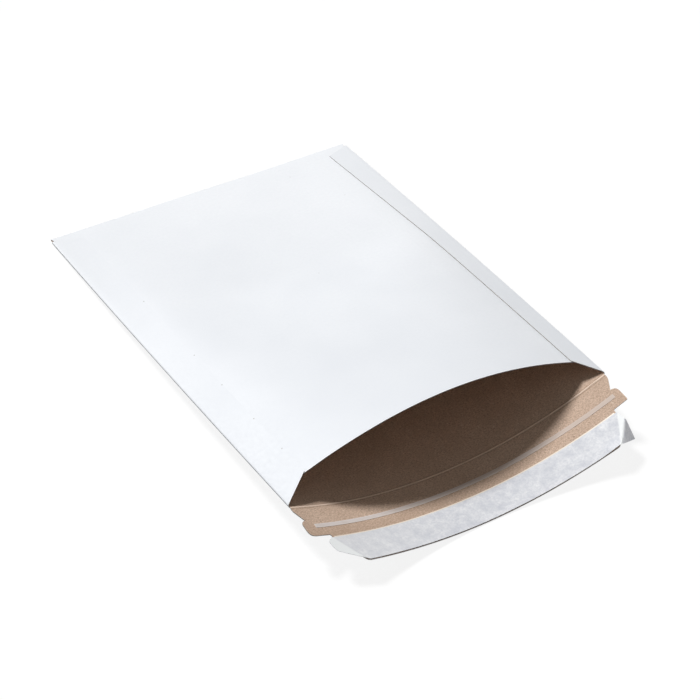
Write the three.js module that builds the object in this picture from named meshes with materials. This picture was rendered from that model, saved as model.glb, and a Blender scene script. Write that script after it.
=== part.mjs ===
// Rigid mailer: one sheet of white-faced board, folded across the closed end and up both sides,
// glued along the sides, and bowed open at the mouth. A closure flap runs on from the back panel
// and carries a tear tape and an adhesive strip under its release liner.
//
// Millimetres, +Z up. The closed end is towards +Y, the mouth and the flap towards -Y.
// Every sheet is described by two flat sizes: s runs across it from the middle, and t runs along
// the blank from the mouth crease, positive into the back panel, round the closed end and back
// along the front panel, negative into the closure flap.
import * as THREE from "three";
import { mergeVertices } from "three/addons/utils/BufferGeometryUtils.js";

// Board and folded size
const BOARD = 0.6;
const PANEL_WIDTH = 241;
const PANEL_LENGTH = 318;
const CLOSED_FOLD_RADIUS = 0.45;
const GLUE_LINE = 0.05;

// Front panel and the glue flaps that wrap onto it
const FRONT_SETBACK = 13.9;
const FRONT_SIDE_CLEARANCE = 1;
const LEFT_GLUE_FLAP = 19.9;
const RIGHT_GLUE_FLAP = 18.3;
const GLUE_MOUTH_TAPER = 14.6;
const GLUE_END_RELIEF = 2.5;
const GLUE_END_TAPER = 8;

// How far the pack is bowed open
const MOUTH_BOW = THREE.MathUtils.degToRad(26.9);
const PROP_DEPTH = 171.5;
const PROP_BLEND = 22;
const PROP_SLOPE = THREE.MathUtils.degToRad(18.3);
const MOUTH_SLOPE = THREE.MathUtils.degToRad(22.9);
const PROP_RISE = 3;
const MOUTH_RISE = 20.6;
const RISE_POWER = 0.75;

// Closure flap: depths run outwards from the mouth crease, insets inwards from the panel's sides
const FLAP_LENGTH = 47.1;
const FLAP_EASE = 0.11;
const SHOULDER_INSET = 0.5;
const SHOULDER_DEPTH = 2.4;
const SHOULDER_ROUND = 2.4;
const NOTCH_INSET = 5.3;
const TAB_INSET = 1.3;
const TAB_SLANT = 0.8;
const TAB_NEAR_ROUND = 3;
const LEFT_TAB_END_ROUND = 3.2;
const RIGHT_TAB_END_ROUND = 0.9;
const TAB_NEAR_MARGIN = 3.3;
const TAB_FAR_MARGIN = 6.1;
const NECK_INSET = 14.5;
const NECK_ROUND = 1.2;
const NECK_LENGTH = 3.4;
const TIP_INSET = 27.1;
const TIP_ROUND = 2.2;
const TIP_SHIFT = 1.7;

// Tear tape, adhesive strip and release liner on the flap's inner face
const TAPE_NEAR = 14.5;
const TAPE_WIDTH = 3;
const TAPE_INSET = 7.8;
const TAPE_THICKNESS = 0.15;
const ADHESIVE_START = 2.5;
const ADHESIVE_TIP_MARGIN = 1.3;
const ADHESIVE_SIDE_MARGIN = 1.2;
const ADHESIVE_THICKNESS = 0.15;
const LINER_START = 2.9;
const LINER_TIP_MARGIN = 0.3;
const LINER_THICKNESS = 0.2;
const LINER_RIGHT_NEAR_OVERHANG = 1.9;
const LINER_RIGHT_OVERHANG = 3;
const LINER_LEFT_NEAR_OVERHANG = 3.4;
const LINER_LEFT_SLANT_OVERHANG = 1.3;
const LINER_LEFT_SLANT_START = 10.1;
const LINER_LEFT_TIP_SETBACK = 2.8;
const RIGHT_CORNER_FOLD_START = 6.4;
const RIGHT_CORNER_FOLD_OUTSET = 2.4;
const LEFT_END_FOLD_INSET = 0.9;
const LEFT_END_FOLD_TIP_INSET = 0.1;
const RIGHT_CORNER_FOLD = THREE.MathUtils.degToRad(52);
const LEFT_END_FOLD = THREE.MathUtils.degToRad(8);
const FILM_GAP = 0.03;

// Facets
const MIDDLE_CELLS = 19;
const LENGTH_CELLS = 18;
const SIDE_FOLD_CELLS = 5;
const GLUE_CELLS = 2;
const CLOSED_FOLD_CELLS = 6;
const LINER_TAIL_CELLS = 3;
const MOUTH_CELLS = 3;
const TAPER_CELLS = 2;
const CHAMFER_CELLS = 3;
const SAME_ROW = 1e-3;
const THIN_SHARE = 1e-6;

const HALF_WIDTH = PANEL_WIDTH / 2;
const NECK_REACH = HALF_WIDTH - NECK_INSET;
const TIP_REACH = HALF_WIDTH - TIP_INSET;
const TAPE_REACH = HALF_WIDTH - TAPE_INSET;
const NOTCH_DEPTH = TAPE_NEAR - TAB_NEAR_MARGIN;
const TAB_END = TAPE_NEAR + TAPE_WIDTH + TAB_FAR_MARGIN;
const ADHESIVE_NEAR = TAB_END + ADHESIVE_START;
const ADHESIVE_FAR = FLAP_LENGTH - ADHESIVE_TIP_MARGIN;
const LINER_NEAR = TAB_END + LINER_START;
const LINER_FAR = FLAP_LENGTH - LINER_TIP_MARGIN;
const LINER_LEFT_SLANT_DEPTH = LINER_NEAR + LINER_LEFT_SLANT_START;
const RIGHT_CORNER_FOLD_DEPTH = LINER_NEAR + RIGHT_CORNER_FOLD_START;
const LINER_RIGHT_END = NECK_REACH + LINER_RIGHT_OVERHANG;
const SIDE_FOLD_RADIUS = CLOSED_FOLD_RADIUS + (BOARD + GLUE_LINE) / 2;
const SIDE_FOLD_LENGTH = Math.PI * SIDE_FOLD_RADIUS;
const FOLD_START = HALF_WIDTH - SIDE_FOLD_LENGTH / 2;
const FOLD_END = HALF_WIDTH + SIDE_FOLD_LENGTH / 2;
const CLOSED_FOLD_LENGTH = Math.PI * CLOSED_FOLD_RADIUS;
const FRONT_START = PANEL_LENGTH + CLOSED_FOLD_LENGTH;
const FRONT_LENGTH = PANEL_LENGTH - FRONT_SETBACK;
const FRONT_REACH = FOLD_START - FRONT_SIDE_CLEARANCE;
const SIDES = { left: -1, right: 1 };
const GLUE_FLAP = { left: LEFT_GLUE_FLAP, right: RIGHT_GLUE_FLAP };
const TAB_END_ROUND = { left: LEFT_TAB_END_ROUND, right: RIGHT_TAB_END_ROUND };
const { clamp, lerp } = THREE.MathUtils;

const sideOf = (s) => (s < 0 ? "left" : "right");

// A ramp that is 0 before zero and the distance itself after it, rounded over PROP_BLEND each way.
function softRamp(distance) {
  if (distance <= -PROP_BLEND) return 0;
  if (distance >= PROP_BLEND) return distance;
  return (distance + PROP_BLEND) ** 2 / (4 * PROP_BLEND);
}

// Half angle of the arc that the back panel and flap make across the pack.
function bowAt(t) {
  if (t < 0) return MOUTH_BOW * (1 + (FLAP_EASE * t) / FLAP_LENGTH);
  return MOUTH_BOW * (1 - t / PANEL_LENGTH);
}

// Slope of the glued side strips, from flat at the closed end.
function stripSlopeAt(y) {
  const deep = PROP_SLOPE / (PANEL_LENGTH - PROP_DEPTH);
  const shallow = (MOUTH_SLOPE - PROP_SLOPE) / (PROP_DEPTH - FRONT_SETBACK);
  return deep * (PANEL_LENGTH - y) - (deep - shallow) * softRamp(PROP_DEPTH - y);
}

// Height of the front panel's middle over its two seams.
function riseAt(y) {
  const share = softRamp(PROP_DEPTH - y) / (PROP_DEPTH - FRONT_SETBACK);
  const behind = Math.min(1, (PANEL_LENGTH - y) / (PANEL_LENGTH - PROP_DEPTH));
  return PROP_RISE * behind + (MOUTH_RISE - PROP_RISE) * share ** RISE_POWER;
}

// A point of a sheet's middle surface and the direction that its brown inner face looks in.
const place = (x, y, z, nx, ny, nz) => ({
  point: new THREE.Vector3(x, y, z),
  inward: new THREE.Vector3(nx, ny, nz),
});

// Back panel and flap: an arc across the pack whose lowest line lies on the ground.
function onBack(s, t) {
  const bow = bowAt(t);
  if (bow < THIN_SHARE) return place(s, t, BOARD / 2, 0, 0, 1);
  const radius = HALF_WIDTH / bow;
  const angle = s / radius;
  const z = BOARD / 2 + radius * (1 - Math.cos(angle));
  return place(radius * Math.sin(angle), t, z, -Math.sin(angle), 0, Math.cos(angle));
}

// The side fold at one station: its centre and the directions it starts and ends in.
function sideFoldAt(side, y) {
  const start = onBack(SIDES[side] * FOLD_START, y);
  const centre = start.point.clone().addScaledVector(start.inward, SIDE_FOLD_RADIUS);
  const slope = stripSlopeAt(y);
  const tilt = (FOLD_START / HALF_WIDTH) * bowAt(y);
  return { centre, slope, tilt, turn: Math.PI - tilt - slope };
}

// A point on the straight glued strip, a distance in from the fold and a height over its centre.
function onStrip(side, y, inset, height) {
  const { centre, slope } = sideFoldAt(side, y);
  const sign = SIDES[side];
  const sin = Math.sin(slope);
  const cos = Math.cos(slope);
  const x = centre.x + sign * (sin * height - cos * inset);
  return place(x, y, centre.z + cos * height + sin * inset, -sign * sin, 0, -cos);
}

// Side fold and the glue flap that follows it.
function onWrap(s, y) {
  const side = sideOf(s);
  const past = Math.abs(s) - FOLD_START;
  if (past > SIDE_FOLD_LENGTH) return onStrip(side, y, past - SIDE_FOLD_LENGTH, SIDE_FOLD_RADIUS);
  const { centre, tilt, turn } = sideFoldAt(side, y);
  const angle = tilt + (turn * past) / SIDE_FOLD_LENGTH;
  const nx = -SIDES[side] * Math.sin(angle);
  const nz = Math.cos(angle);
  return place(centre.x - SIDE_FOLD_RADIUS * nx, y, centre.z - SIDE_FOLD_RADIUS * nz, nx, 0, nz);
}

// Front panel: flat strips under the glue flaps, and a crowned middle that leaves them smoothly.
function onFront(s, y) {
  const height = SIDE_FOLD_RADIUS - BOARD - GLUE_LINE;
  const side = sideOf(s);
  const inset = FOLD_START - Math.abs(s);
  if (inset <= GLUE_FLAP[side]) return onStrip(side, y, inset, height);
  const left = onStrip("left", y, LEFT_GLUE_FLAP, height).point;
  const right = onStrip("right", y, RIGHT_GLUE_FLAP, height).point;
  const rise = riseAt(y);
  const half = (right.x - left.x) / 2;
  const power = rise > THIN_SHARE ? Math.max(2, (Math.tan(stripSlopeAt(y)) * half) / rise) : 2;
  const middle = (RIGHT_GLUE_FLAP - LEFT_GLUE_FLAP) / -2;
  const across = (s - middle) / (FOLD_START - (LEFT_GLUE_FLAP + RIGHT_GLUE_FLAP) / 2);
  const z = lerp(left.z, right.z, (across + 1) / 2) + rise * (1 - Math.abs(across) ** power);
  const slope = (-rise * power * Math.sign(across) * Math.abs(across) ** (power - 1)) / half;
  const length = Math.hypot(1, slope);
  return place(left.x + half * (across + 1), y, z, slope / length, 0, -1 / length);
}

// The fold across the closed end, from the back panel to the front panel.
function onClosedFold(s, t) {
  const angle = (t - PANEL_LENGTH) / CLOSED_FOLD_RADIUS;
  const sin = Math.sin(angle);
  const cos = Math.cos(angle);
  const y = PANEL_LENGTH + CLOSED_FOLD_RADIUS * sin;
  return place(s, y, BOARD / 2 + CLOSED_FOLD_RADIUS * (1 - cos), 0, -sin, cos);
}

// Any point of the folded board from its place on the flat blank.
function onBoard(s, t) {
  if (t >= FRONT_START) return onFront(s, PANEL_LENGTH - (t - FRONT_START));
  if (t > PANEL_LENGTH) return onClosedFold(s, t);
  if (t >= 0 && Math.abs(s) > FOLD_START) return onWrap(s, t);
  return onBack(s, t);
}

// Three points that round a corner of an outline, a size back from it along each side.
function rounded(before, corner, after, size) {
  const vertex = new THREE.Vector2(...corner);
  const towards = (end) => {
    const way = new THREE.Vector2(...end).sub(vertex).normalize();
    return vertex.clone().addScaledVector(way, size);
  };
  const curve = new THREE.QuadraticBezierCurve(towards(before), vertex, towards(after));
  return [0, 0.5, 1].map((share) => curve.getPoint(share).toArray());
}

// Half of the closure flap's outline as [reach, depth] from the mouth crease to the tip.
function flapOutline(side) {
  const shift = SIDES[side] * TIP_SHIFT;
  const fold = [FOLD_START, 0];
  const tabReach = HALF_WIDTH - TAB_INSET;
  const shoulder = [HALF_WIDTH - SHOULDER_INSET, SHOULDER_DEPTH];
  const notch = [HALF_WIDTH - NOTCH_INSET, NOTCH_DEPTH];
  const tabNear = [tabReach, NOTCH_DEPTH + TAB_SLANT];
  const tabEnd = [tabReach, TAB_END];
  const neck = [NECK_REACH + shift, TAB_END];
  const chamfer = [NECK_REACH + shift, TAB_END + NECK_LENGTH];
  const tip = [TIP_REACH + shift, FLAP_LENGTH];
  const tipMiddle = [0, FLAP_LENGTH];
  return [
    fold,
    ...rounded(fold, shoulder, notch, SHOULDER_ROUND),
    notch,
    ...rounded(notch, tabNear, tabEnd, TAB_NEAR_ROUND),
    ...rounded(tabNear, tabEnd, neck, TAB_END_ROUND[side]),
    ...rounded(tabEnd, neck, chamfer, NECK_ROUND),
    chamfer,
    ...rounded(chamfer, tip, tipMiddle, TIP_ROUND),
  ];
}

// The blank's half width at each place along it, as [reach, t].
function blankOutline(side) {
  const glued = FOLD_END + GLUE_FLAP[side];
  const flapEnd = PANEL_LENGTH - GLUE_END_RELIEF;
  return [
    ...flapOutline(side).map(([reach, depth]) => [reach, -depth]).reverse(),
    [glued, GLUE_MOUTH_TAPER],
    [glued, flapEnd - GLUE_END_TAPER],
    [FOLD_START, flapEnd],
    [FOLD_START, FRONT_START],
    [FRONT_REACH, FRONT_START + GLUE_END_RELIEF],
    [FRONT_REACH, FRONT_START + FRONT_LENGTH],
  ];
}

// Linear interpolation in a list of [value, place], ordered by place.
function alongOutline(outline, t) {
  const next = outline.findIndex(([, at]) => at >= t);
  if (next <= 0) return outline[next < 0 ? outline.length - 1 : 0][0];
  const [before, from] = outline[next - 1];
  const [after, to] = outline[next];
  return lerp(before, after, (t - from) / (to - from));
}

const BLANK = { left: blankOutline("left"), right: blankOutline("right") };

// Evenly spaced values, both ends included.
const spread = (from, to, cells) =>
  Array.from({ length: cells + 1 }, (unused, i) => lerp(from, to, i / cells));

// Sorted values without near repeats.
const sorted = (values) =>
  [...values].sort((a, b) => a - b).filter((v, i, all) => i === 0 || v - all[i - 1] > SAME_ROW);

// Columns of the whole blank, among them the tape's ends. They gather a little at the two seams,
// where the crown starts.
function boardColumns() {
  const left = -(FOLD_START - LEFT_GLUE_FLAP);
  const right = FOLD_START - RIGHT_GLUE_FLAP;
  const middle = spread(-1, 1, MIDDLE_CELLS).map((share) => {
    const gathered = (share + Math.sin((share * Math.PI) / 2)) / 2;
    return lerp(left, right, (gathered + 1) / 2);
  });
  const wrap = (side) => [
    TAPE_REACH + SIDES[side] * TIP_SHIFT,
    ...spread(FOLD_START - GLUE_FLAP[side], FRONT_REACH, GLUE_CELLS),
    ...spread(FOLD_START, FOLD_END, SIDE_FOLD_CELLS),
    ...spread(FOLD_END, FOLD_END + GLUE_FLAP[side], GLUE_CELLS),
  ];
  return sorted([...wrap("left").map((s) => -s), ...middle, ...wrap("right")]);
}

// Depths on the flap at which any of its sheets has a corner or an edge.
const FLAP_ROWS = sorted([
  ...flapOutline("left").map(([, depth]) => depth),
  ...flapOutline("right").map(([, depth]) => depth),
  TAPE_NEAR,
  TAPE_NEAR + TAPE_WIDTH,
  ADHESIVE_NEAR,
  ADHESIVE_FAR,
  LINER_NEAR,
  LINER_FAR,
  RIGHT_CORNER_FOLD_DEPTH,
  ...spread(LINER_LEFT_SLANT_DEPTH, ADHESIVE_FAR, CHAMFER_CELLS),
]);

// Stations along the pocket. Both panels share them, so that the glued layers have like facets.
function pocketStations() {
  const wrapShare = SIDE_FOLD_LENGTH / (SIDE_FOLD_LENGTH + LEFT_GLUE_FLAP);
  const flapEnd = PANEL_LENGTH - GLUE_END_RELIEF;
  const wrapped = GLUE_MOUTH_TAPER * wrapShare;
  const unwrapped = flapEnd - GLUE_END_TAPER * wrapShare;
  return sorted([
    ...spread(0, wrapped, MOUTH_CELLS),
    ...spread(wrapped, GLUE_MOUTH_TAPER, MOUTH_CELLS),
    FRONT_SETBACK,
    ...spread(GLUE_MOUTH_TAPER, flapEnd - GLUE_END_TAPER, LENGTH_CELLS),
    ...spread(flapEnd - GLUE_END_TAPER, unwrapped, TAPER_CELLS),
    ...spread(unwrapped, flapEnd, TAPER_CELLS),
    PANEL_LENGTH,
  ]);
}

function boardRows() {
  const stations = pocketStations();
  const front = stations.filter((y) => y >= FRONT_SETBACK - SAME_ROW);
  return sorted([
    ...FLAP_ROWS.map((depth) => -depth),
    ...stations,
    ...spread(PANEL_LENGTH, FRONT_START, CLOSED_FOLD_CELLS),
    ...front.map((y) => FRONT_START + PANEL_LENGTH - y),
  ]);
}

// A closed sheet. Each row is a list of places, and the sheet lies between two heights over them.
function sheet(rows, low, high) {
  const cells = rows[0].length - 1;
  const positions = [];
  const corner = (row, column, height) => {
    const { point, inward } = rows[row][column];
    return point.clone().addScaledVector(inward, height);
  };
  const triangle = (a, b, c) => {
    const longest = Math.max(a.distanceTo(b), b.distanceTo(c), c.distanceTo(a));
    const doubled = b.clone().sub(a).cross(c.clone().sub(a)).length();
    if (doubled > longest * THIN_SHARE) positions.push(...a, ...b, ...c);
  };
  const quad = (a, b, c, d) => {
    triangle(a, b, c);
    triangle(a, c, d);
  };
  for (let r = 0; r + 1 < rows.length; r++) {
    for (let c = 0; c < cells; c++) {
      const ring = [[r, c], [r, c + 1], [r + 1, c + 1], [r + 1, c]];
      quad(...ring.map(([row, column]) => corner(row, column, high)));
      quad(...ring.map(([row, column]) => corner(row, column, low)).reverse());
    }
    quad(corner(r, 0, low), corner(r, 0, high), corner(r + 1, 0, high), corner(r + 1, 0, low));
    quad(
      corner(r, cells, high),
      corner(r, cells, low),
      corner(r + 1, cells, low),
      corner(r + 1, cells, high),
    );
  }
  const last = rows.length - 1;
  for (let c = 0; c < cells; c++) {
    quad(corner(0, c, low), corner(0, c + 1, low), corner(0, c + 1, high), corner(0, c, high));
    quad(
      corner(last, c, high),
      corner(last, c + 1, high),
      corner(last, c + 1, low),
      corner(last, c, low),
    );
  }
  const geometry = new THREE.BufferGeometry();
  geometry.setAttribute("position", new THREE.Float32BufferAttribute(positions, 3));
  const merged = mergeVertices(geometry, 1e-4);
  merged.computeVertexNormals();
  return merged;
}

// The folded board, from the flap's tip round to the front panel's edge.
function boardGeometry() {
  const columns = boardColumns();
  const rows = boardRows().map((t) => {
    const left = -alongOutline(BLANK.left, t);
    const right = alongOutline(BLANK.right, t);
    return columns.map((s) => onBoard(clamp(s, left, right), t));
  });
  return sheet(rows, -BOARD / 2, BOARD / 2);
}

// The flap's rows between two depths, from the far one in towards the mouth.
const rowsBetween = (near, far) =>
  FLAP_ROWS.filter((depth) => depth > near - SAME_ROW && depth < far + SAME_ROW).reverse();

// Rows of a strip that lies on the flap between two depths, with its two ends at each depth.
function flapStrip(near, far, endsAt) {
  const columns = boardColumns();
  return rowsBetween(near, far).map((depth) => {
    const [left, right] = endsAt(depth);
    return columns.map((s) => onBack(clamp(s, left, right), -depth));
  });
}

function tapeGeometry() {
  const ends = [TIP_SHIFT - TAPE_REACH, TIP_SHIFT + TAPE_REACH];
  const rows = flapStrip(TAPE_NEAR, TAPE_NEAR + TAPE_WIDTH, () => ends);
  const low = BOARD / 2 + FILM_GAP;
  return sheet(rows, low, low + TAPE_THICKNESS);
}

function adhesiveGeometry() {
  const rows = flapStrip(ADHESIVE_NEAR, ADHESIVE_FAR, (depth) => [
    ADHESIVE_SIDE_MARGIN - alongOutline(BLANK.left, -depth),
    alongOutline(BLANK.right, -depth) - ADHESIVE_SIDE_MARGIN,
  ]);
  const low = BOARD / 2 + FILM_GAP;
  return sheet(rows, low, low + ADHESIVE_THICKNESS);
}

// The straight line that one end of the liner turns down about, just outside the flap's tip.
function linerFold(side) {
  const [start, end] =
    side === "right"
      ? [[LINER_RIGHT_END, RIGHT_CORNER_FOLD_DEPTH], [TIP_REACH + RIGHT_CORNER_FOLD_OUTSET, LINER_FAR]]
      : [[NECK_REACH - LEFT_END_FOLD_INSET, LINER_NEAR], [TIP_REACH - LEFT_END_FOLD_TIP_INSET, LINER_FAR]];
  const from = new THREE.Vector2(SIDES[side] * start[0], start[1]);
  const to = new THREE.Vector2(SIDES[side] * end[0], end[1]);
  const along = to.clone().sub(from).normalize();
  return { from, along, out: new THREE.Vector2(SIDES[side] * along.y, Math.abs(along.x)) };
}

// How far out the liner's end is at a depth: nearly square on the right, on the slant on the left.
function linerEnd(side, depth) {
  if (side === "right") {
    const share = (depth - LINER_NEAR) / (RIGHT_CORNER_FOLD_DEPTH - LINER_NEAR);
    return lerp(NECK_REACH + LINER_RIGHT_NEAR_OVERHANG, LINER_RIGHT_END, Math.min(1, share));
  }
  const slantEnd = NECK_REACH + LINER_LEFT_SLANT_OVERHANG;
  const share = (depth - LINER_NEAR) / (LINER_LEFT_SLANT_DEPTH - LINER_NEAR);
  if (share <= 1) return lerp(NECK_REACH + LINER_LEFT_NEAR_OVERHANG, slantEnd, share);
  const slant = (depth - LINER_LEFT_SLANT_DEPTH) / (LINER_FAR - LINER_LEFT_SLANT_DEPTH);
  return lerp(slantEnd, TIP_REACH - LINER_LEFT_TIP_SETBACK, slant);
}

// A point near the liner's end, turned down about the fold line if it lies beyond it.
function onLinerTail(side, s, depth) {
  const { from, along, out } = linerFold(side);
  const flat = new THREE.Vector2(s, depth);
  const foot = from.clone().addScaledVector(along, flat.clone().sub(from).dot(along));
  const distance = flat.clone().sub(foot).dot(out);
  if (distance <= 0) return onBack(s, -depth);
  const { point, inward } = onBack(foot.x, -foot.y);
  const near = onBack(foot.x + out.x, -foot.y - out.y).point;
  const outward = near.sub(point);
  outward.addScaledVector(inward, -outward.dot(inward)).normalize();
  const fold = side === "right" ? RIGHT_CORNER_FOLD : LEFT_END_FOLD;
  const way = outward.clone().multiplyScalar(Math.cos(fold)).addScaledVector(inward, -Math.sin(fold));
  const face = inward.clone().multiplyScalar(Math.cos(fold)).addScaledVector(outward, Math.sin(fold));
  return { point: point.addScaledVector(way, distance), inward: face };
}

function linerGeometry() {
  const rows = rowsBetween(LINER_NEAR, LINER_FAR).map((depth) => {
    const reach = {};
    const tail = {};
    for (const side of ["left", "right"]) {
      const { from, along } = linerFold(side);
      const end = linerEnd(side, depth);
      const fold = Math.abs(from.x + (along.x * (depth - from.y)) / along.y);
      reach[side] = Math.min(fold, end);
      tail[side] = spread(reach[side], end, LINER_TAIL_CELLS)
        .slice(1)
        .map((s) => onLinerTail(side, SIDES[side] * s, depth));
    }
    const middle = boardColumns().map((s) => onBack(clamp(s, -reach.left, reach.right), -depth));
    return [...tail.left.reverse(), ...middle, ...tail.right];
  });
  const low = BOARD / 2 + ADHESIVE_THICKNESS + 2 * FILM_GAP;
  return sheet(rows, low, low + LINER_THICKNESS);
}

function piece(name, geometry, color, roughness) {
  const material = new THREE.MeshStandardMaterial({ color, roughness, metalness: 0 });
  const mesh = new THREE.Mesh(geometry, material);
  mesh.name = name;
  return mesh;
}

const body = piece("mailer_body", boardGeometry(), 0xeef1f5, 0.55);
const tape = piece("tear_strip", tapeGeometry(), 0xd3cdd2, 0.35);
const adhesive = piece("adhesive_strip", adhesiveGeometry(), 0xf3e6cf, 0.3);
const liner = piece("release_liner", linerGeometry(), 0xdfe3e9, 0.4);

const mailer = new THREE.Group();
mailer.add(body, tape, adhesive, liner);

// The origin is under the middle of the pack's box, on the surface it lies on.
const bounds = new THREE.Box3().setFromObject(mailer);
const middle = bounds.getCenter(new THREE.Vector3());
mailer.children.forEach((mesh) => mesh.position.set(-middle.x, -middle.y, -bounds.min.z));

export default mailer;
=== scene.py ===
"""Visual model of a rigid board mailer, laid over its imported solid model.

Metres, +Z up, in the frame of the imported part: the closed end is towards +Y, the mouth and the
closure flap towards -Y. Every sheet is described on the flat blank: s runs across it from the
middle, t runs along it from the mouth crease, positive into the back panel, round the closed end
and back along the front panel, and negative into the closure flap.
"""

import logging
import math
from collections.abc import Sequence
from dataclasses import dataclass, replace
from enum import Enum

import bpy
import numpy as np
from mathutils import Matrix, Vector


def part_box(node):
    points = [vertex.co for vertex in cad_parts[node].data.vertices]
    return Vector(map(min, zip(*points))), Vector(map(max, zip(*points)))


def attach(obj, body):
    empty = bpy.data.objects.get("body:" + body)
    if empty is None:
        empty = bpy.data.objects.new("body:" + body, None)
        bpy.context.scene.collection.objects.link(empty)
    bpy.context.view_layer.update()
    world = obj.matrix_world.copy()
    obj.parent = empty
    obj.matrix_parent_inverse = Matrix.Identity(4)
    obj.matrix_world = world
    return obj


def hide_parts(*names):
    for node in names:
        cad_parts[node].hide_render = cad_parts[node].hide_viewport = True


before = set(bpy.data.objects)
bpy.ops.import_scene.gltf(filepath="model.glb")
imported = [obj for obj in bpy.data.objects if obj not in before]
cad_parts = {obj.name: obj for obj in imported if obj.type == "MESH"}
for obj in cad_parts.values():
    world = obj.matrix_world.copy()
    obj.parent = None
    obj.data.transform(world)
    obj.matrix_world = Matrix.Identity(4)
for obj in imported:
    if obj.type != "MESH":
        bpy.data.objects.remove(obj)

Array = np.ndarray
Point = tuple[float, float]
Triple = tuple[float, float, float]
Color = Triple
Socket = bpy.types.NodeSocket

MM = 0.001
TINY = 1e-9
SAME_PLACE = 1e-7  # corners this near to each other are one, in metres
SHARP_ANGLE = math.radians(38)
BODY = "root"
BLANK = "blank"  # mesh attribute: the place on the flat blank
# The rim also masks painted light: the white face's edge highlight and the liner where no board is
# behind it.
RIM = "rim"  # mesh attribute: the distance from the nearest cut edge
UNIT: Point = (0.0, 1.0)
FADE: Point = (1.0, 0.0)
NOISE_SPREAD: Point = (0.3, 0.7)  # where most of a noise's values lie
SOFT_CORE = 0.45  # the part of a round mark that is at full strength
WHITE = (1, 1, 1, 1)

log = logging.getLogger("mailer")


class Side(Enum):
    """The two sides of the pack, seen from the mouth."""

    LEFT = -1
    RIGHT = 1


class Face(Enum):
    """What a face of the board shows, as its place in the board's list of materials."""

    WHITE = 0
    KRAFT = 1
    CUT = 2


@dataclass(frozen=True)
class Surface:
    """Places of a sheet's middle surface.

    Args:
        points: One row of three coordinates for each place.
        inward: The unit directions that the sheet's inner face looks in.
    """

    points: Array
    inward: Array

    def at(self, height: Array | float) -> Array:
        """Places at a height over the middle surface, towards the inner face."""
        return self.points + self.inward * np.reshape(height, (-1, 1))


def merged(values: Sequence[float], least: float) -> Array:
    """The values in order, without any that lies nearer than least to the one before it."""
    ordered = sorted(values)
    kept = [ordered[0]]
    for value in ordered[1:]:
        if value - kept[-1] > least:
            kept.append(value)
    return np.array(kept)


def stacked(x: Array, y: Array | float, z: Array | float) -> Array:
    """Rows of three coordinates, where a plain number is repeated for all of x."""
    return np.stack(np.broadcast_arrays(x, y, z), 1)


def steps(start: float, end: float, size: float) -> Array:
    """Even steps from start to end, each about size long."""
    return np.linspace(start, end, max(1, round(abs(end - start) / size)) + 1)


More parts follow.
